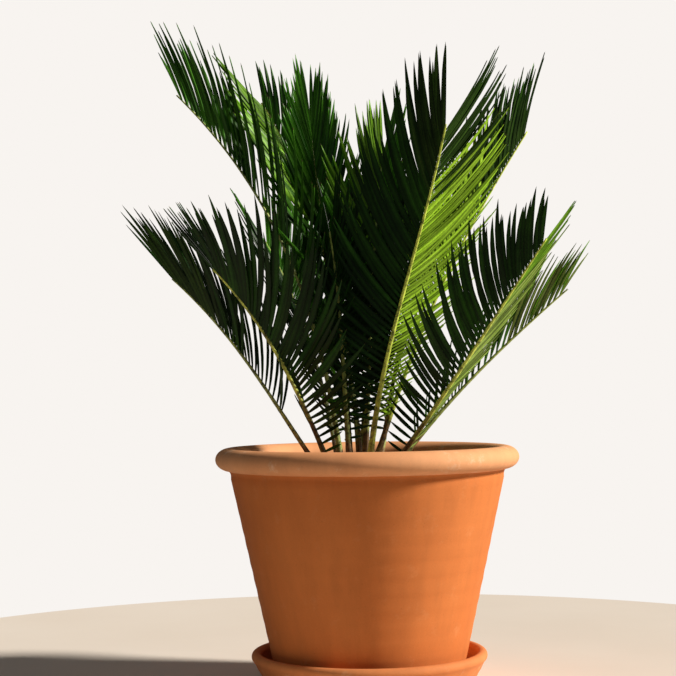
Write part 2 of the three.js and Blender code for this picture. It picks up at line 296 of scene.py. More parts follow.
# Pot. Thrown from the same red clay: a straight wall that widens upwards, a neck line under a
# heavy rolled rim, and a drain hole through the floor. It is fired once and left bare.
pot_low, pot_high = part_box("pot")
POT_FOOT_RADIUS = 0.0864
POT_NECK_RADIUS = 0.126
POT_WALL = 0.011
POT_FLOOR = 0.012
POT_COVE = 0.006
DRAIN_RADIUS = 0.012
FOOT_BEVEL = 0.0025
RIM_HEIGHT = 0.0206
RIM_WIDTH = 0.0255
NECK_HEIGHT = 0.008
NECK_FLARE = 0.0035
POT_SIDES = 160

rim_centre = (pot_high.x - RIM_WIDTH / 2, pot_high.z - RIM_HEIGHT / 2)
neck_level = pot_high.z - RIM_HEIGHT - NECK_HEIGHT
pot_floor = pot_low.z + POT_FLOOR
wall_slope = (POT_NECK_RADIUS - POT_FOOT_RADIUS) / (neck_level - pot_low.z)


def inner_radius(level):
    return POT_FOOT_RADIUS + wall_slope * (level - pot_low.z) - POT_WALL


pot_outline = [
    (DRAIN_RADIUS, pot_low.z),
    (POT_FOOT_RADIUS - FOOT_BEVEL, pot_low.z),
    (POT_FOOT_RADIUS - FOOT_BEVEL * 0.3, pot_low.z + FOOT_BEVEL * 0.3),
    *pulled_stretch((POT_FOOT_RADIUS, pot_low.z + FOOT_BEVEL),
                    (POT_NECK_RADIUS, neck_level), 44, FINGER_RIDGE),
    *round_stretch((POT_NECK_RADIUS + NECK_FLARE, neck_level + NECK_HEIGHT * 0.35),
                   (NECK_FLARE, NECK_HEIGHT * 0.65), (180, 90), 5),
    *round_stretch(rim_centre, (RIM_WIDTH / 2, RIM_HEIGHT / 2), (-68, 180), 30),
    *pulled_stretch((inner_radius(neck_level), neck_level),
                    (inner_radius(pot_floor + POT_COVE), pot_floor + POT_COVE), 24, FINGER_RIDGE),
    (inner_radius(pot_floor) - POT_COVE, pot_floor),
    (DRAIN_RADIUS, pot_floor),
]
pot = throw_on_wheel("thrown_pot", pot_outline, POT_SIDES)
bpy.ops.object.mode_set(mode="EDIT")
bpy.ops.mesh.select_all(action="DESELECT")
bpy.ops.mesh.select_face_by_sides(number=4, type="GREATER")
bpy.ops.mesh.bridge_edge_loops()
bpy.ops.object.mode_set(mode="OBJECT")
leave_hand_made(pot, amount=0.0002, size=0.09, seed=8)
bpy.ops.object.shade_smooth_by_angle(angle=CLAY_EDGE)
pot.data.materials.append(clay_material(
    "pot_clay", paint(212, 124, 62), paint(190, 103, 44), paint(238, 188, 138), 0.14))
# The rim's clay is paler and carries more lime bloom: partly bloom, partly a painted highlight of
# the light on the rim.
pot.data.materials.append(clay_material(
    "rim_clay_and_painted_glare", paint(236, 172, 122), paint(220, 146, 94), paint(250, 226, 196), 0.6))
for face in pot.data.polygons:
    face.material_index = int(face.center.z > pot_high.z - RIM_HEIGHT)
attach(pot, "root")
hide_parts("pot")

# Potting soil. A loose mix of peat, bark and a little grit, filled in by hand and settled by
# watering, so that it lies a little lower along the wall.
soil_low, soil_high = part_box("potting_soil")
SOIL_FALL = 0.005
SOIL_LEVEL_RADIUS = 0.066
SOIL_RELIEF = 0.0022
SOIL_LUMPS = 90
SOIL_HOLLOWS = 26
SOIL_WALL_GAP = 0.0006
SOIL_BORDER = 0.001
SOIL_EDGE_DEPTH = 0.004
SOIL_START_RADIUS = 0.04
SOIL_SIDES = 120
SOIL_RINGS = 34
SOIL_CREASE = math.radians(60)
CRUMB_COUNT = 900
CRUMB_SIZES = (0.0009, 0.0026)
CHIP_COUNT = 130
CHIP_SIZES = (0.003, 0.007)
LUMP_TILT = 0.5
LUMP_UNEVENNESS = 0.22

soil_edge = soil_high.z - SOIL_FALL
soil_radius = inner_radius(soil_edge) - SOIL_WALL_GAP
soil_side = soil_edge - SOIL_EDGE_DEPTH
soil_outline = [
    (SOIL_START_RADIUS, soil_low.z),
    (inner_radius(pot_floor) - POT_COVE * 1.2, soil_low.z),
    (inner_radius(soil_low.z + POT_COVE) - SOIL_WALL_GAP, soil_low.z + POT_COVE),
    (inner_radius(soil_side) - SOIL_WALL_GAP, soil_side),
    (soil_radius, soil_edge),
]


def even_level(far):
    """The soil's even level at a distance from the pot's middle."""
    rise = min(1, (soil_radius - far) / (soil_radius - SOIL_LEVEL_RADIUS))
    return soil_edge + SOIL_FALL * rise


for i in range(1, SOIL_RINGS):
    ring_radius = soil_radius * (1 - i / SOIL_RINGS)
    soil_outline.append((ring_radius, even_level(ring_radius)))
soil = throw_on_wheel("settled_soil", soil_outline, SOIL_SIDES)


def soil_relief(x, y):
    """How far the soil's surface stands above its even level."""
    lumps = noise.fractal(Vector((x, y, 0)) * SOIL_LUMPS, 0.9, 2.1, 4) * 0.5
    hollows = noise.noise(Vector((x, y, 4)) * SOIL_HOLLOWS)
    return SOIL_RELIEF * (0.7 * lumps + 0.5 * hollows - 0.25)


for vertex in soil.data.vertices:
    inside = vertex.co.xy.length < soil_radius - SOIL_BORDER
    if inside and vertex.co.z > soil_edge - SOIL_BORDER:
        vertex.co.z += soil_relief(vertex.co.x, vertex.co.y)
bpy.ops.object.shade_smooth_by_angle(angle=SOIL_CREASE)

soil_material, place = new_material("peat_mix")
peat = grain(place, 210, 7, 0.7)
coat(soil_material,
     {"Base Color": ramp(peat, (0.32, paint(24, 16, 11)), (0.5, paint(50, 34, 23)),
                         (0.68, paint(86, 62, 42))),
      "Roughness": 0.95, "Specular IOR Level": 0.2},
     (peat, 0.8, 0.0015))
soil.data.materials.append(soil_material)
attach(soil, "root")
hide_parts("potting_soil")


def taken_arrays(piece):
    """The vertices and faces of a piece that is modelled once, to be set out many times."""
    bpy.ops.object.mode_set(mode="OBJECT")
    vertices = np.array([v.co for v in piece.data.vertices])
    faces = [tuple(p.vertices) for p in piece.data.polygons]
    bpy.data.objects.remove(piece)
    return vertices, faces


def joined(name, copies, materials):
    """One mesh from many copies, each of vertices, faces and, if not all 0, material numbers."""
    vertices, faces, tones = [], [], []
    start = 0
    for copy_vertices, copy_faces, *copy_tones in copies:
        vertices.append(copy_vertices)
        faces.extend(tuple(start + i for i in face) for face in copy_faces)
        tones.extend(copy_tones[0] if copy_tones else [0] * len(copy_faces))
        start += len(copy_vertices)
    mesh = bpy.data.meshes.new(name)
    mesh.from_pydata(np.concatenate(vertices).tolist(), [], faces)
    for material in materials:
        mesh.materials.append(material)
    mesh.polygons.foreach_set("material_index", tones)
    mesh.polygons.foreach_set("use_smooth", [True] * len(faces))
    mesh.update()
    piece = bpy.data.objects.new(name, mesh)
    bpy.context.scene.collection.objects.link(piece)
    return piece


# Loose crumbs of peat and chips of bark that lie on the soil as they fell. One crumb and one
# chip are modelled, and copies of them are strewn at all sizes and turns.
def lump(size, seed):
    """An uneven lump that reaches as far from its middle as size says."""
    bpy.ops.object.select_all(action="DESELECT")
    bpy.ops.mesh.primitive_ico_sphere_add(subdivisions=1, radius=1, location=(0, 0, 0))
    piece = bpy.context.object
    bpy.ops.object.mode_set(mode="EDIT")
    bpy.ops.mesh.select_all(action="SELECT")
    bpy.ops.transform.vertex_random(offset=LUMP_UNEVENNESS, seed=seed)
    bpy.ops.transform.resize(value=size)
    return taken_arrays(piece)


dice = random.Random(21)
stem_low, stem_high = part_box("stem")
stem_centre = Vector(((stem_low.x + stem_high.x) / 2, (stem_low.y + stem_high.y) / 2, 0))
stem_radius = (stem_high.x - stem_low.x) / 2


def scattered(arrays, count, sizes, lift):
    """Copies of a lump, strewn over the soil round the stem and lifted by a share of their size."""
    vertices, faces = arrays
    copies = []
    while len(copies) < count:
        far = soil_radius * math.sqrt(dice.random()) - SOIL_EDGE_DEPTH
        angle = dice.uniform(0, math.tau)
        x, y = far * math.cos(angle), far * math.sin(angle)
        size = dice.uniform(*sizes)
        turn = Matrix.Rotation(dice.uniform(0, math.tau), 3, "Z")
        tilt = Matrix.Rotation(dice.uniform(-LUMP_TILT, LUMP_TILT), 3, "X")
        if far < 0 or math.hypot(x - stem_centre.x, y) < stem_radius:
            continue
        level = even_level(far) + soil_relief(x, y) + size * lift
        spun = vertices @ np.array(turn @ tilt).T
        copies.append((spun * size + (x, y, level), faces))
    return copies


crumb_copies = scattered(lump((1, 0.85, 0.7), seed=5), CRUMB_COUNT, CRUMB_SIZES, lift=0.25)
crumbs = joined("soil_crumbs", crumb_copies, [soil_material])
chip_material, place = new_material("bark_chip")
chip_grain = grain(place, 330, 5, 0.65)
coat(chip_material,
     {"Base Color": ramp(chip_grain, (0.3, paint(58, 36, 22)), (0.55, paint(104, 70, 44)),
                         (0.75, paint(146, 108, 72))),
      "Roughness": 0.85},
     (chip_grain, 0.6, 0.0006))
chip_copies = scattered(lump((1, 0.55, 0.2), seed=9), CHIP_COUNT, CHIP_SIZES, lift=0.05)
chips = joined("bark_chips", chip_copies, [chip_material])
for piece in (crumbs, chips):
    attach(piece, "root")

# Stem. The short trunk of the palm is a pithy bulb that stays wrapped in the hard brown feet
# of old fronds, set in a tight spiral, with brown felt between them.
STEM_WAIST = 0.009
STEM_SIDES = 64
STEM_START_RADIUS = 0.024
CORE_FOOT_INSET = 0.006
CORE_INSET = 0.003
CORE_TOP_INSET = 0.002
SCALE_COUNT = 150
SCALE_LENGTH = 0.016
SCALE_LENGTHS = (0.75, 1.1)
SCALE_WIDTH = 0.0105
SCALE_WIDTHS = (0.85, 1.1)
SCALE_SIDES = 8
SCALE_PULLS = ((0.3, 1.0, 0.9), (0.3, 0.86, 0.84), (0.25, 0.8, 0.74), (0.15, 0.8, 0.66),
               (-0.06, 0.62, 0.7))
SCALE_FLATNESS = 0.55
SCALE_INSET = 0.005
SCALE_TOP_INSET = 0.003
SCALE_TOP_ANGLE = 12
SCALE_SWEEP = 84
SCALE_LEAN = 0.62
SCALE_LEAN_SPREAD = 0.06
SCALE_UPRIGHT = 0.2
GOLDEN_TURN = math.radians(137.508)
waist_level = stem_low.z + STEM_WAIST
dome_height = stem_high.z - waist_level

core_outline = [
    (STEM_START_RADIUS, stem_low.z),
    (stem_radius - CORE_FOOT_INSET, stem_low.z),
    *round_stretch((0, waist_level),
                   (stem_radius - CORE_INSET, dome_height - CORE_TOP_INSET), (0, 86), 12),
]
core = throw_on_wheel("stem_core", core_outline, STEM_SIDES)
core.data.transform(Matrix.Translation(stem_centre))


def shape_scale():
    """The woody foot of an old frond: broad where it sits, cut off blunt where the stalk was."""
    piece = open_disc(SCALE_SIDES)
    for step, spread, pinch in SCALE_PULLS:
        pull_up(step)
        bpy.ops.transform.resize(value=(spread, pinch, 1))
    return taken_arrays(piece)


def set_on_dome(arrays, polar, compass, size, lean):
    """A copy that stands on the stem's dome, leaning up from the surface."""
    vertices, faces = arrays
    out = Vector((math.cos(compass), math.sin(compass), 0))
    level = waist_level + (dome_height - SCALE_TOP_INSET) * math.cos(polar)
    foot = (stem_centre + out * (stem_radius - SCALE_INSET) * math.sin(polar)
            + Vector((0, 0, level)))
    away = (out * math.sin(lean) + Vector((0, 0, math.cos(lean)))).normalized()
    side = away.cross(out if lean < SCALE_UPRIGHT else Vector((0, 0, 1))).normalized()
    thick = side.cross(away)
    axes = np.array([side * size[0], thick * size[1], away * size[2]])
    return vertices @ axes + np.array(foot), faces


scale_arrays = shape_scale()
scales = []
for i in range(SCALE_COUNT):
    share = (i + 0.5) / SCALE_COUNT
    polar = math.radians(SCALE_TOP_ANGLE + SCALE_SWEEP * math.sqrt(share))
    wide = SCALE_WIDTH / 2 * dice.uniform(*SCALE_WIDTHS) * (0.65 + 0.35 * share)
    long = SCALE_LENGTH * dice.uniform(*SCALE_LENGTHS) * (1 - 0.35 * share)
    lean = polar * SCALE_LEAN + dice.uniform(-SCALE_LEAN_SPREAD, SCALE_LEAN_SPREAD)
    scales.append(set_on_dome(scale_arrays, polar, i * GOLDEN_TURN,
                              (wide, wide * SCALE_FLATNESS, long), lean))

# Dry husk, for the old feet and the felt: fibres drawn out upwards, dark in patches.
husk_group, husk = new_group("dry_husk", {"Place": "Vector", "Dark": "Color", "Light": "Color",
                                          "Grain": "Float"})
strands = grain(drawn_out(husk["Place"], (1, 1, 0.22)), husk["Grain"], 6, 0.65)
spots = grain(husk["Place"], 70, 3)
husk_share = reckoned("MULTIPLY", ramp(strands, (0.3, 0), (0.7, 1)),
                      ramp(spots, (0.3, 0.35), (0.65, 1)))
put_out(husk_group, {"Colour": blended(husk_share, husk["Dark"], husk["Light"]),
                     "Height": strands})


def husk_material(name, dark, light, grain_scale):
    return material_of(name, husk_group, {"Dark": dark, "Light": light, "Grain": grain_scale},
                       (0.6, 0.0006), {"Roughness": 0.9, "Specular IOR Level": 0.25})


old_feet = husk_material("old_leaf_feet", paint(46, 31, 20), paint(122, 88, 56), 420)
felt = husk_material("stem_felt", paint(66, 42, 24), paint(138, 96, 58), 900)
core.data.materials.append(felt)
armour = joined("stem_armour", scales, [old_feet])
for piece in (core, armour):
    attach(piece, "root")
    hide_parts("stem")

# Stalks. Each frond hangs on one tough rib, round below and grooved above, that is brown and
# swollen where it grows out of the stem, and thins and greens towards the tip of the frond.
STALK_RADIUS = 0.0038
STALK_SIDES = 12
STALK_CHANNEL = 0.42
STALK_BREADTH = 1.08
STALK_DEPTH = 0.95
RIB_TIP_RADIUS = 0.0008
RIB_BEND = 0.42
RIB_REACH = 0.36
RIB_STEPS = 64
FOOT_SWELL = 0.75
FOOT_SWELL_SHARE = 0.03
FOOT_SINK = 0.004
KNOB_SIZES = (0.95, 1.05)
CURVE_STEPS = 200

# One row for each frond, in the words of the part's source. Foot is the radius and compass
# angle on the stem, heading the compass angle that the rib grows towards, tip the place of
# its tip, lean how far it stands off upright at its foot and its tip, and twist turns the
# frond about it. Fold is how far the two rows are raised, leaf is the longest leaflet, bare
# the leafless share of the rib, and rib the stalk's tone. The leaflets stand off the rib by
# the angle open at its foot and close at its tip, and settle is how soon they turn from one
# to the other. First and last are the length shares of the end ones, gap is the way from one
# to the next, roll turns the blades about their own length, draw is how far they bunch
# together, wide is the widest blade, tones are their greens, and tips the greens from about
# the share tips_from on to the frond's tip. These greens are partly painted light: rows that
# face the key lamp get lighter greens as painted sunlight, and rows turned away get darker
# ones as painted shade. The tip greens paint a shadow band darker across the upper leaflets
# of some fronds, and a lit band lighter on others. From open on, a pair is for the left and
# the right row as seen from outside, and a single value is for both. Angles are in degrees.
USUAL = dict(twist=0, bare=0.16, rib="olive", open=84, settle=1.1, first=0.15, last=0.7,
             draw=0.3, tips="mid", tips_from=0.8)
BACK = dict(fold=32, leaf=0.105, close=18, gap=0.0042, roll=15, draw=0.5, wide=0.0052)
FRONDS = [USUAL | row for row in (
    dict(name="upper_left", foot=(0.014, 172), heading=172, tip=(-0.176, 0.028, 0.551),
         lean=(6, 45), twist=-4, fold=46, leaf=0.136, bare=0.14, close=(28, 35), settle=3,
         first=0.2, last=(0.52, 0.56), gap=(0.0080, 0.0072), roll=(-6, 8), wide=0.0056,
         tones=("mid", "deep"), tips_from=0.4),
    dict(name="top_left", foot=(0.012, 125), heading=145, tip=(-0.098, 0.080, 0.552),
         lean=(1, 35), twist=-30, fold=35, leaf=0.105, bare=0.14, rib="tan", close=(16, 38),
         settle=(1.1, 1.2), first=(0.15, 0.5), last=(0.5, 0.7), gap=(0.0054, 0.0042),
         roll=(10, 6), draw=(0.5, 0.3), wide=(0.0050, 0.0062), tones=("deep", "mid"),
         tips=("mid", "fresh"), tips_from=0.62),
    dict(name="top_centre", foot=(0.012, 75), heading=105, tip=(-0.050, 0.060, 0.530),
         lean=(8, 12), twist=10, fold=30, leaf=0.100, bare=0.14, close=(8, 10),
         last=(0.7, 0.75), gap=0.0046, roll=(-15, 78), wide=0.0050, tones="deep",
         tips_from=0.6),
    dict(name="top_inner", foot=(0.008, 30), heading=60, tip=(0.020, 0.040, 0.496),
         lean=(6, 14), fold=30, leaf=0.102, close=12, gap=0.0048, roll=(20, 15), draw=0.6,
         wide=0.0048, tones=("deep", "mid"), tips=("mid", "fresh"), tips_from=0.62),
    dict(name="front_right_high", foot=(0.020, 300), heading=300, tip=(0.071, -0.095, 0.500),
         lean=(10, 22), twist=-20, fold=30, leaf=0.126, rib="lime", open=(84, 70),
         close=(17, 34), settle=(1.1, 1.6), first=0.2, last=(0.58, 0.7),
         gap=(0.0047, 0.0029), roll=(15, -9), draw=(0.6, 0), wide=(0.0056, 0.0042),
         tones=("deep", "bright"), tips="dusk", tips_from=0.81),
    dict(name="upper_right", foot=(0.015, 25), heading=12, tip=(0.158, 0.040, 0.514),
         lean=(18, 34), fold=50, leaf=0.108, rib="lime", close=(36, 27), settle=1.4,
         last=0.76, gap=0.0040, roll=(4, 10), wide=0.0042, tones=("bright", "fresh"),
         tips=("dusk", "mid"), tips_from=0.7),
    dict(name="front_right_low", foot=(0.030, 325), heading=325, tip=(0.157, -0.096, 0.399),
         lean=(41, 38), twist=-22, fold=34, leaf=0.092, bare=0.12, rib="lime",
         open=(86, 62), close=(28, 14), settle=(1.1, 1.3), first=0.2, last=(0.5, 0.54),
         gap=(0.0042, 0.0046), roll=(4, 18), draw=(0.25, 0.3), wide=(0.0052, 0.0032),
         tones=("deep", "olive"), tips=("deep", "fresh"), tips_from=0.7),
    dict(name="right_low", foot=(0.028, 352), heading=3, tip=(0.190, 0.010, 0.361),
         lean=(38, 50), fold=50, leaf=0.090, bare=0.18, open=(56, 50), close=(30, 24),
         first=0.4, last=(0.5, 0.66), gap=(0.0074, 0.0080), roll=(-12, -15),
         draw=(0.3, 0.2), wide=(0.0031, 0.0032), tones=("mid", "deep"),
         tips=("olive", "fresh"), tips_from=0.6),
    dict(name="left_low", foot=(0.030, 190), heading=188, tip=(-0.177, -0.020, 0.373),
         lean=(34, 48), fold=42, leaf=0.111, bare=0.32, open=(58, 60), close=(14, 13),
         first=0.9, last=0.74, gap=(0.0042, 0.0044), roll=(-20, -24), draw=(0.4, 0.3),
         wide=(0.0032, 0.0036), tones=("dusk", "deep"), tips=("deep", "dusk"),
         tips_from=0.6),
    dict(name="front_left_low", foot=(0.027, 218), heading=218, tip=(-0.134, -0.090, 0.376),
         lean=(26, 50), fold=38, leaf=0.118, bare=0.11, rib="tan", open=86, close=16,
         last=0.62, gap=(0.0048, 0.0044), roll=(45, 4), draw=0.5, wide=(0.0048, 0.0056),
         tones="deep", tips="deep", tips_from=0.7),
    dict(name="inner_left", foot=(0.013, 240), heading=225, tip=(-0.032, -0.016, 0.415),
         lean=(6, 12), fold=32, leaf=0.088, bare=0.14, close=15, gap=0.0044, roll=(30, 10),
         draw=0.8, wide=0.0046, tones="deep", tips="deep"),
    dict(name="back_right", foot=(0.025, 42), heading=35, tip=(0.085, 0.110, 0.425),
         lean=(15, 42), tones="mid", **BACK),
    dict(name="back_centre", foot=(0.024, 82), heading=75, tip=(0.028, 0.140, 0.440),
         lean=(15, 40), tones=("deep", "mid"), **BACK),
    dict(name="back_left", foot=(0.024, 130), heading=128, tip=(-0.098, 0.125, 0.420),
         lean=(15, 42), tones=("mid", "deep"), **BACK),
)]


def heading(lean, compass):
    """The direction that leans so far off upright towards a compass angle, in degrees."""
    out, turn = math.sin(math.radians(lean)), math.radians(compass)
    return Vector((out * math.cos(turn), out * math.sin(turn), math.cos(math.radians(lean))))


def bezier(guides, t):
    a, b, c, d = guides
    s = 1 - t
    return a * s ** 3 + b * 3 * s * s * t + c * 3 * s * t * t + d * t ** 3


def bezier_way(guides, t):
    a, b, c, d = guides
    s = 1 - t
    return ((b - a) * s * s + (c - b) * 2 * s * t + (d - c) * t * t).normalized()


def rib_curve(row):
    """A rib's four guide points, how its length runs along the curve, and that length."""
    radius, compass = row["foot"]
    level = waist_level + dome_height * math.sqrt(1 - (radius / stem_radius) ** 2)
    foot = heading(90, compass) * radius + stem_centre + Vector((0, 0, level))
    tip = Vector(row["tip"])
    pull = (tip - foot).length * RIB_REACH
    guides = [foot, foot + heading(row["lean"][0], row["heading"]) * pull,
              tip - heading(row["lean"][1], row["heading"]) * pull, tip]
    steps = np.linspace(0, 1, CURVE_STEPS + 1)
    points = np.array([bezier(guides, t) for t in steps])
    lengths = np.concatenate([[0], np.cumsum(np.linalg.norm(np.diff(points, axis=0), axis=1))])
    return guides, steps, lengths / lengths[-1], lengths[-1]


def frame_at(curve, row, share):
    """The rib's frame at a share of its length: place, along, up out of the blade, across."""
    guides, steps, lengths, _ = curve
    t = float(np.interp(share, lengths, steps))
    along = bezier_way(guides, t)
    out = heading(90, row["heading"])
    rise = Vector((0, 0, along.dot(out))) - out * along.z
    rise = (rise - along * rise.dot(along)).normalized()
    across = along.cross(rise)
    turn = Matrix.Rotation(math.radians(row["twist"]), 3, along)
    return bezier(guides, t), along, turn @ rise, turn @ across


def rib_radius(share):
    return STALK_RADIUS + (RIB_TIP_RADIUS - STALK_RADIUS) * share ** RIB_BEND


def shape_stalk():
    """A straight stalk, a unit long and a unit round, with a channel along its upper side."""
    piece = open_disc(STALK_SIDES)
    for _ in range(RIB_STEPS):
        pull_up(1 / RIB_STEPS)
    bpy.ops.mesh.select_all(action="DESELECT")
    bpy.ops.object.mode_set(mode="OBJECT")
    for vertex in piece.data.vertices:
        vertex.select = vertex.co.y > 0.95
    bpy.ops.object.mode_set(mode="EDIT")
    bpy.ops.transform.translate(value=(0, -STALK_CHANNEL, 0))
    return taken_arrays(piece)


def lay_stalk(arrays, curve, row):
    """The straight stalk laid along a frond's rib, swollen at its foot and thin at its tip."""
    vertices, faces = arrays
    laid = np.empty_like(vertices)
    knobs = random.Random(row["name"])
    for step in range(RIB_STEPS + 1):
        share = step / RIB_STEPS
        ring = np.abs(vertices[:, 2] - share) < 0.5 / RIB_STEPS
        place, along, rise, across = frame_at(curve, row, share)
        if step == 0:
            place = place - along * FOOT_SINK
        swell = 1 + FOOT_SWELL * math.exp(-share / FOOT_SWELL_SHARE)
        radius = rib_radius(share) * swell * knobs.uniform(*KNOB_SIZES)
        laid[ring] = (np.array(place)
                      + np.outer(vertices[ring, 0] * radius * STALK_BREADTH, np.array(across))
                      + np.outer(vertices[ring, 1] * radius * STALK_DEPTH, np.array(rise)))
    return laid, faces


# The stalks' skin: scurfy all over, brown in patches as far up as Brown Top, green above.
stalk_group, rind = new_group("stalk_skin", {"Place": "Vector", "Green": "Color",
                                             "Brown": "Color", "Brown Top": "Float"})
scurf = grain(rind["Place"], 190, 5, 0.7)
levels = node(stalk_group, "SeparateXYZ", {"Vector": rind["Place"]})
browning = ranged(levels.outputs["Z"], 1, 0, stem_high.z, rind["Brown Top"])
patchy = reckoned("MULTIPLY", grain(rind["Place"], 38, 4), browning)
rind_base = blended(ramp(patchy, (0.26, 0), (0.4, 1)), rind["Green"], rind["Brown"])
rind_tone = tinted(rind_base, ramp(scurf, (0.38, 0.22), (0.46, 0.8), (0.62, 1.3)))
put_out(stalk_group, {"Colour": rind_tone, "Roughness": ranged(patchy, 0.42, 0.85),
                      "Height": scurf})


def stalk_material(name, green, brown, brown_top):
    return material_of(name, stalk_group,
                       {"Green": green, "Brown": brown, "Brown Top": brown_top},
                       (0.4, 0.0004), {})


# The stalks' greens are partly painted light: they are lighter than the rind's own green as painted
# sunlight. Lime is the lightest, for the ribs of the fronds that face the key lamp.
STALK_GREENS_AND_PAINTED_LIGHT = {
    "olive": stalk_material("stalk_olive", paint(170, 182, 96), paint(126, 94, 54), 0.285),
    "tan": stalk_material("stalk_tan", paint(212, 222, 96), paint(84, 68, 36), 0.480),
    "lime": stalk_material("stalk_lime_and_painted_sunlight", paint(224, 238, 98), paint(124, 94, 50), 0.335),
}
stalk_arrays = shape_stalk()
curves = {row["name"]: rib_curve(row) for row in FRONDS}

# Spines. Towards its foot a stalk has short stiff thorns in place of leaflets. A thorn is
# modelled once, and those of a stalk are joined to it.
SPINE_STEPS = 7
SPINE_LENGTH = 0.0016
SPINE_LENGTHS = (0.6, 1.1)
SPINE_RADIUS = 0.0010
SPINES_FROM = 0.3
SPINES_REACH = 0.66


def shape_spine():
    bpy.ops.object.select_all(action="DESELECT")
    bpy.ops.mesh.primitive_cone_add(vertices=5, radius1=1, radius2=0.25, depth=1,
                                    location=(0, 0, 0.5))
    bpy.ops.object.transform_apply(location=True, rotation=False, scale=False)
    return taken_arrays(bpy.context.object)


spine_vertices, spine_faces = shape_spine()
for row in FRONDS:
    curve = curves[row["name"]]
    thorns = []
    picks = random.Random("spines " + row["name"])
    for step, side in product(range(SPINE_STEPS), (1, -1)):
        along_bare = SPINES_FROM + SPINES_REACH * (step + picks.uniform(0.1, 0.9)) / SPINE_STEPS
        share = row["bare"] * along_bare
        place, along, rise, across = frame_at(curve, row, share)
        way = (across * side * 0.9 + rise * 0.3 + along * 0.6).normalized()
        flank = way.cross(along).normalized()
        long = SPINE_LENGTH * picks.uniform(*SPINE_LENGTHS) * (0.5 + 0.5 * share / row["bare"])
        axes = np.array([flank * SPINE_RADIUS, flank.cross(way) * SPINE_RADIUS,
                         way * (long + rib_radius(share))])
        thorns.append((spine_vertices @ axes + np.array(place), spine_faces))
    stalk = joined("stalk_" + row["name"], [lay_stalk(stalk_arrays, curve, row), *thorns],
                   [STALK_GREENS_AND_PAINTED_LIGHT[row["rib"]]])
    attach(stalk, "root")
    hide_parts("frond_" + row["name"])

# Leaflets. A frond carries two rows of stiff, narrow, glossy blades, raised like an open book,
# that lean towards its tip and bend inwards. They draw together in small bunches, and each
# has rolled margins, a keel below and a sharp brown point.
LEAFLET_THICKNESS = 0.0009
BLADE_OUTLINE = ((0, 0.42), (0.06, 0.6), (0.16, 0.82), (0.32, 0.97), (0.5, 1), (0.68, 0.86),
                 (0.82, 0.6), (0.92, 0.32), (0.975, 0.12))
BLADE_SIDES = 6
MARGIN_ROLL = 0.3
FOOT_SPREAD = 0.9
FOOT_SPREAD_FALL = 6
BUNCH_FROM = 0.3
BUNCH_SIZES = (1, 2, 3, 3, 4, 5)
LEAF_TURNS = (0, 7, -7, 14, -14, 21)
LEAF_FULL = 0.55
LEAF_RISE_BEND = 1.15
LEAF_FADES = 0.66
LEAF_FADE_BEND = 1.6
LEAF_END = 0.985
LEAF_BEND_SHARE = 0.52
LEAF_BEND_MOST = 26
LEAF_BEND_BACK = 0.3
LEAF_SEAT = 0.55
LEAF_EDGE = math.radians(28)
LEAST_WIDTH = 0.45
FOLD_SWAY = 3
FOLD_SPREAD = 1.5
ANGLE_SWAY = 2
ANGLE_SPREAD = 1.7
ROLL_SPREAD = 8
LENGTH_SPREAD = (0.8, 1.05)
PAINTED_LIGHT_TIPS_SPREAD = 0.04
LEAF_TOUCH = 0.0013
LEAF_SAMPLES = 36
RIB_SAMPLES = 130
CROWD_CUBE = 0.004
SWAY_KNOTS = 14
OWN_TONE_LEAST = 0.65
OWN_TONE_RANGE = 1.05


def shape_leaflet():
    """A straight leaflet, a unit long and a unit from midrib to margin, standing on its foot."""
    piece = open_disc(BLADE_SIDES)
    bpy.ops.transform.resize(value=(BLADE_OUTLINE[0][1] / math.cos(math.pi / BLADE_SIDES), 0.5, 1))
    for (start, narrow), (end, wide) in zip(BLADE_OUTLINE, BLADE_OUTLINE[1:]):
        pull_up(end - start)
        bpy.ops.transform.resize(value=(wide / narrow, 1, 1))
    pull_up(1 - BLADE_OUTLINE[-1][0])
    bpy.ops.mesh.merge(type="CENTER")
    bpy.ops.object.mode_set(mode="OBJECT")
    for vertex in piece.data.vertices:
        if abs(vertex.co.x) > 0.02 and vertex.co.z < 1:
            vertex.co.y = vertex.co.y * 0.4 - MARGIN_ROLL
    return taken_arrays(piece)


leaflet_vertices, leaflet_faces = shape_leaflet()
point_faces = [max(leaflet_vertices[i][2] for i in face) > BLADE_OUTLINE[-1][0] + 0.001
               for face in leaflet_faces]


def of_side(value, side):
    """A frond's value for one of its rows, picked where the two rows have a pair of them."""
    return value[0 if side > 0 else 1] if isinstance(value, tuple) else value


def leaf_length(row, share, side):
    first, last = of_side(row["first"], side), of_side(row["last"], side)
    risen = math.sin(math.pi / 2 * min(share / LEAF_FULL, 1)) ** LEAF_RISE_BEND
    faded = max(0, (share - LEAF_FADES) / (1 - LEAF_FADES)) ** LEAF_FADE_BEND
    return row["leaf"] * (first + (1 - first) * risen) * (1 - (1 - last) * faded)


def leaf_angle(row, share, side):
    wide, close = of_side(row["open"], side), of_side(row["close"], side)
    return close + (wide - close) * (1 - share) ** of_side(row["settle"], side)


def sway(picks, shares, amount):
    """A slow swing along a row, because neighbours lean alike."""
    knots = [picks.gauss(0, amount) for _ in range(SWAY_KNOTS)]
    return np.interp(shares, np.linspace(0, 1, SWAY_KNOTS), knots)


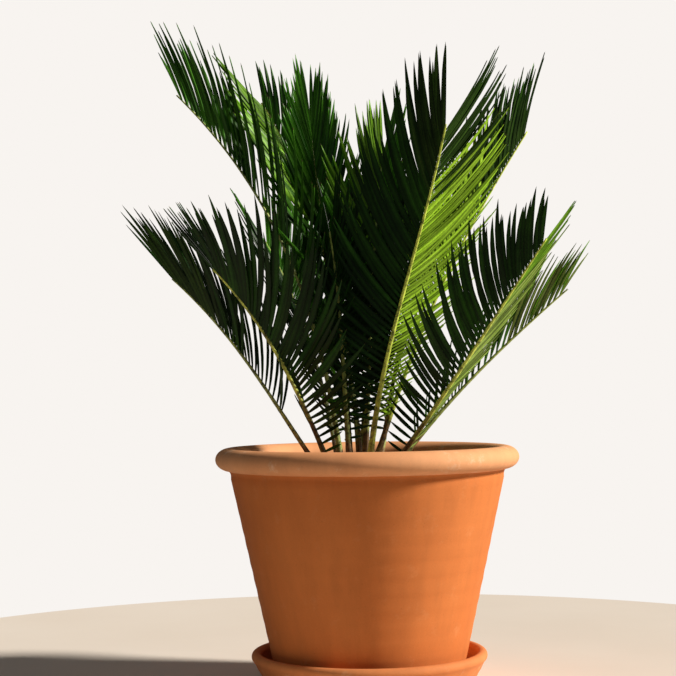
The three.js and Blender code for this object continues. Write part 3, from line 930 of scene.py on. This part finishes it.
def set_out_row(row, rib_length, side):
    """Where a row's leaflets stand on the rib, and the length, angles and tone of each."""
    picks = random.Random(row["name"] + str(side))
    reach = (LEAF_END - row["bare"]) * rib_length
    gap = of_side(row["gap"], side) / reach
    shares = []
    share = 0 if side > 0 else gap / 2
    while share < 1:
        shares.append(share)
        share += gap * (1 + FOOT_SPREAD * (1 - share) ** FOOT_SPREAD_FALL)
    folds = sway(picks, shares, FOLD_SWAY)
    angles = sway(picks, shares, ANGLE_SWAY)
    settings = []
    bunch_end = 0
    for i, share in enumerate(shares):
        if i >= bunch_end:
            bunch_end = i + picks.choice(BUNCH_SIZES)
            bunch = shares[i:bunch_end]
            middle = sum(bunch) / len(bunch)
        angle = leaf_angle(row, share, side)
        length = leaf_length(row, share, side)
        drawn = (share - middle) * reach * math.sin(math.radians(angle)) / length
        drawn = math.degrees(drawn) + leaf_angle(row, middle, side) - angle
        drawn *= of_side(row["draw"], side) * min(1, share / BUNCH_FROM)
        # Leaflets past about the tips_from share take the tip greens, which are painted light and
        # shade.
        tip = share + picks.gauss(0, PAINTED_LIGHT_TIPS_SPREAD) > row["tips_from"]
        settings.append({
            "share": share, "side": side, "length": length * picks.uniform(*LENGTH_SPREAD),
            "angle": angle + drawn + angles[i] + picks.gauss(0, ANGLE_SPREAD),
            "fold": row["fold"] + folds[i] + picks.gauss(0, FOLD_SPREAD),
            "roll": of_side(row["roll"], side) * side + picks.gauss(0, ROLL_SPREAD),
            "tone": (0 if side > 0 else 1) + (2 if tip else 0)})
    return settings


def grow_leaflet(curve, row, leaflet, turn):
    """A leaflet's bent midline and its cross axes, as functions of a share of its length."""
    rib_share = row["bare"] + (LEAF_END - row["bare"]) * leaflet["share"]
    place, along, rise, across = (np.array(v) for v in frame_at(curve, row, rib_share))
    fold = math.radians(leaflet["fold"] + turn)
    out = across * leaflet["side"] * math.cos(fold) + rise * math.sin(fold)
    grown_share = leaflet["length"] / row["leaf"]
    bend = -math.radians(min(leaflet["angle"] * LEAF_BEND_SHARE, LEAF_BEND_MOST * grown_share))
    start = math.radians(leaflet["angle"]) - bend * LEAF_BEND_BACK
    roll = math.radians(leaflet["roll"])
    foot = place + out * rib_radius(rib_share) * LEAF_SEAT

    def midline(t):
        reach = (np.sin(start + bend * t) - math.sin(start)) / bend
        spread = (math.cos(start) - np.cos(start + bend * t)) / bend
        return foot + leaflet["length"] * (np.outer(reach, along) + np.outer(spread, out))

    def axes(t):
        turned = start + bend * t
        way = np.outer(np.cos(turned), along) + np.outer(np.sin(turned), out)
        edge = np.outer(np.sin(turned), along) - np.outer(np.cos(turned), out)
        face = np.cross(way, edge)
        return ((edge * math.cos(roll) + face * math.sin(roll)) * leaflet["side"],
                (face * math.cos(roll) - edge * math.sin(roll)) * leaflet["side"])

    return midline, axes


def dressed(midline, axes, leaflet, row):
    """The leaflet's vertices laid along its midline."""
    t = leaflet_vertices[:, 2]
    edge, face = axes(t)
    wide = of_side(row["wide"], leaflet["side"]) / 2
    wide *= LEAST_WIDTH + (1 - LEAST_WIDTH) * leaflet["length"] / row["leaf"]
    return (midline(t) + edge * (leaflet_vertices[:, 0] * wide)[:, None]
            + face * (leaflet_vertices[:, 1] * LEAFLET_THICKNESS)[:, None])


class Crowd:
    """Remembers where each frond already has rib and leaflets, sorted into small cubes."""

    def __init__(self):
        self.cells = {}

    def cell(self, point):
        return tuple(math.floor(c / CROWD_CUBE) for c in point)

    def add(self, frond, points, reach):
        for point in points:
            self.cells.setdefault(self.cell(point), []).append((frond, point, reach))

    def touches(self, frond, points, reach):
        for point in points:
            x, y, z = self.cell(point)
            for dx, dy, dz in product((-1, 0, 1), repeat=3):
                for other, place, wide in self.cells.get((x + dx, y + dy, z + dz), ()):
                    if other != frond and math.dist(point, place) < reach + wide:
                        return True
        return False


crowd = Crowd()
for row in FRONDS:
    for share in np.linspace(0, 1, RIB_SAMPLES):
        crowd.add(row["name"], [tuple(frame_at(curves[row["name"]], row, share)[0])],
                  rib_radius(share))

# The leaflets grow from the tips down. One that would touch another frond's is folded up or
# down a little, and left out where that doesn't free it.
leaflets = {row["name"]: [] for row in FRONDS}
in_turn = []
for row, side in product(FRONDS, (1, -1)):
    for leaflet in set_out_row(row, curves[row["name"]][3], side):
        in_turn.append((1 - leaflet["share"], len(in_turn), row, leaflet))
samples = np.linspace(0.04, 1, LEAF_SAMPLES)
for _, _, row, leaflet in sorted(in_turn, key=lambda entry: entry[:2]):
    for turn in LEAF_TURNS:
        midline, axes = grow_leaflet(curves[row["name"]], row, leaflet, turn)
        points = [tuple(p) for p in midline(samples)]
        if not crowd.touches(row["name"], points, LEAF_TOUCH):
            crowd.add(row["name"], points, LEAF_TOUCH)
            leaflets[row["name"]].append(
                (dressed(midline, axes, leaflet, row), leaflet_faces,
                 [4 if point else leaflet["tone"] for point in point_faces]))
            break

# Leaf tissue, mottled and flecked, with a painted highlight as a pale line along the midrib
# and painted shade darker at the margins. Blade holds the way across a leaflet, its own tone
# and the way along it.
leaf_group, leaf = new_group("leaf_tissue", {"Place": "Vector", "Blade": "Vector",
                                             "Green": "Color", "Pale": "Color"})
mottle = grain(leaf["Place"], 26, 5, 0.6)
mottled = blended(ramp(mottle, (0.38, 0), (0.68, 0.75)), leaf["Green"], leaf["Pale"])
fleck = grain(leaf["Place"], 420, 3)
flecked = tinted(mottled, ramp(fleck, (0.3, 0.8), (0.55, 1), (0.75, 1.12)))
parts = node(leaf_group, "SeparateXYZ", {"Vector": leaf["Blade"]}).outputs
from_midrib = reckoned("ABSOLUTE", parts["X"])
# Painted highlight and shade: the midrib line is made lighter and the margins darker.
midrib_glint_margin_shade = tinted(flecked, ramp(from_midrib, (0.0, 1.7), (0.16, 1.15), (0.6, 0.95), (0.95, 0.55)))
put_out(leaf_group, {"Colour": tinted(midrib_glint_margin_shade, parts["Y"]),
                     "Roughness": ranged(mottle, 0.3, 0.5), "Height": fleck})


def leaf_material(name, green, pale):
    material = material_of(name, leaf_group, {"Green": green, "Pale": pale},
                           (0.15, 0.0002), {"Specular IOR Level": 0.14})
    blade = node(material.node_tree, "Attribute", attribute_name="blade")
    feed(material.node_tree.nodes["effect"], {"Blade": blade.outputs["Vector"]})
    return material


# The leaf greens, dealt out by row and by tip share. Besides the leaves' own greens they hold
# painted light. Bright is painted sunlight on rows that face the key lamp, and fresh is partly so.
# Deep and dusk are darker as painted shade on rows turned away, and olive is greyed as a painted
# sheen of the glossy blades. The point is the leaflets' own brown.
LEAF_GREENS_AND_PAINTED_LIGHT = {
    "deep": leaf_material("leaf_deep_and_painted_shade", paint(18, 46, 6), paint(34, 70, 12)),
    "mid": leaf_material("leaf_mid", paint(42, 88, 12), paint(66, 116, 24)),
    "dusk": leaf_material("leaf_dusk_painted_shade", paint(28, 50, 12), paint(48, 72, 22)),
    "olive": leaf_material("leaf_olive_and_painted_sheen", paint(100, 124, 48), paint(134, 154, 78)),
    "fresh": leaf_material("leaf_fresh_and_painted_light", paint(88, 134, 26), paint(116, 160, 40)),
    "bright": leaf_material("leaf_bright_painted_sunlight", paint(120, 158, 34), paint(144, 180, 52)),
}
leaf_point = leaf_material("leaf_point", paint(46, 48, 22), paint(70, 64, 34))
bpy.ops.object.select_all(action="DESELECT")
for row in FRONDS:
    tones = [LEAF_GREENS_AND_PAINTED_LIGHT[of_side(row[part], side)]
             for part, side in product(("tones", "tips"), (1, -1))]
    grown = leaflets[row["name"]]
    spray = joined("leaflets_" + row["name"], grown, [*tones, leaf_point])
    picks = random.Random("greens " + row["name"])
    blades = np.tile(leaflet_vertices, (len(grown), 1))
    own_tones = [OWN_TONE_LEAST + OWN_TONE_RANGE * picks.random() ** 2 for _ in grown]
    blades[:, 1] = np.repeat(own_tones, len(leaflet_vertices))
    blade = spray.data.attributes.new("blade", "FLOAT_VECTOR", "POINT")
    blade.data.foreach_set("vector", blades.ravel())
    bpy.context.view_layer.objects.active = spray
    spray.select_set(True)
    bpy.ops.object.shade_smooth_by_angle(angle=LEAF_EDGE)
    spray.select_set(False)
    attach(spray, "root")
    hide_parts("frond_" + row["name"])

# Floor and studio. A round pale floor, a soft sun-like lamp low on the right, where the photo's
# light comes from, a weak one that answers it from the left, and an even pale surround.
FLOOR_SIDES = 160
FLOOR_RADIUS = 0.62
SURROUND_LIGHT = 0.1
floor = open_disc(FLOOR_SIDES, FLOOR_RADIUS)
bpy.ops.object.mode_set(mode="OBJECT")
floor.name = "studio_floor"
floor_material, place = new_material("floor_paper")
tooth = ramp(grain(place, 5, 4), (0.3, paint(228, 216, 203)), (0.7, paint(232, 221, 209)))
coat(floor_material, {"Base Color": tooth, "Roughness": 0.9, "Specular IOR Level": 0.1})
floor.data.materials.append(floor_material)


def hang_lamp(name, energy, spread, colour, aim):
    """A lamp as far off as the sun, with its spread in degrees and the way its light goes."""
    lamp = bpy.data.lights.new(name, "SUN")
    lamp.energy = energy
    lamp.angle = math.radians(spread)
    lamp.color = colour
    holder = bpy.data.objects.new(name, lamp)
    holder.rotation_euler = Vector(aim).to_track_quat("-Z", "Y").to_euler()
    bpy.context.scene.collection.objects.link(holder)


hang_lamp("key_lamp", energy=5.6, spread=9, colour=(1.0, 0.95, 0.87), aim=(-0.86, 0.1, -0.5))
hang_lamp("answer_lamp", energy=0.15, spread=60, colour=(0.94, 0.97, 1.0), aim=(0.5, 0.7, -0.5))

world = bpy.data.worlds.new("studio_surround")
world.use_nodes = True
seen = node(world.node_tree, "LightPath").outputs["Is Camera Ray"]
feed(world.node_tree.nodes["Background"],
     {"Color": paint(248, 244, 240), "Strength": ranged(seen, SURROUND_LIGHT, 1)})
bpy.context.scene.world = world
bpy.context.scene.view_settings.view_transform = "Standard"

# Camera. It stands where the photo was taken from, 1.5 m in front and a little above the rim,
# and is tilted up by less than two degrees.
PHOTO_WIDTH = 676
FOCAL_PIXELS = 1586
CAMERA_PLACE = (-0.0255, -1.472, 0.2725)
CAMERA_TILT = 1.75
CAMERA_ROLL = -0.7
camera_data = bpy.data.cameras.new("photo_camera")
camera_data.sensor_width = 36
camera_data.lens = camera_data.sensor_width * FOCAL_PIXELS / PHOTO_WIDTH
camera = bpy.data.objects.new("photo_camera", camera_data)
camera.matrix_world = (Matrix.Translation(CAMERA_PLACE)
                       @ Matrix.Rotation(math.radians(90 + CAMERA_TILT), 4, "X")
                       @ Matrix.Rotation(math.radians(CAMERA_ROLL), 4, "Z"))
bpy.context.scene.collection.objects.link(camera)
bpy.context.scene.camera = camera
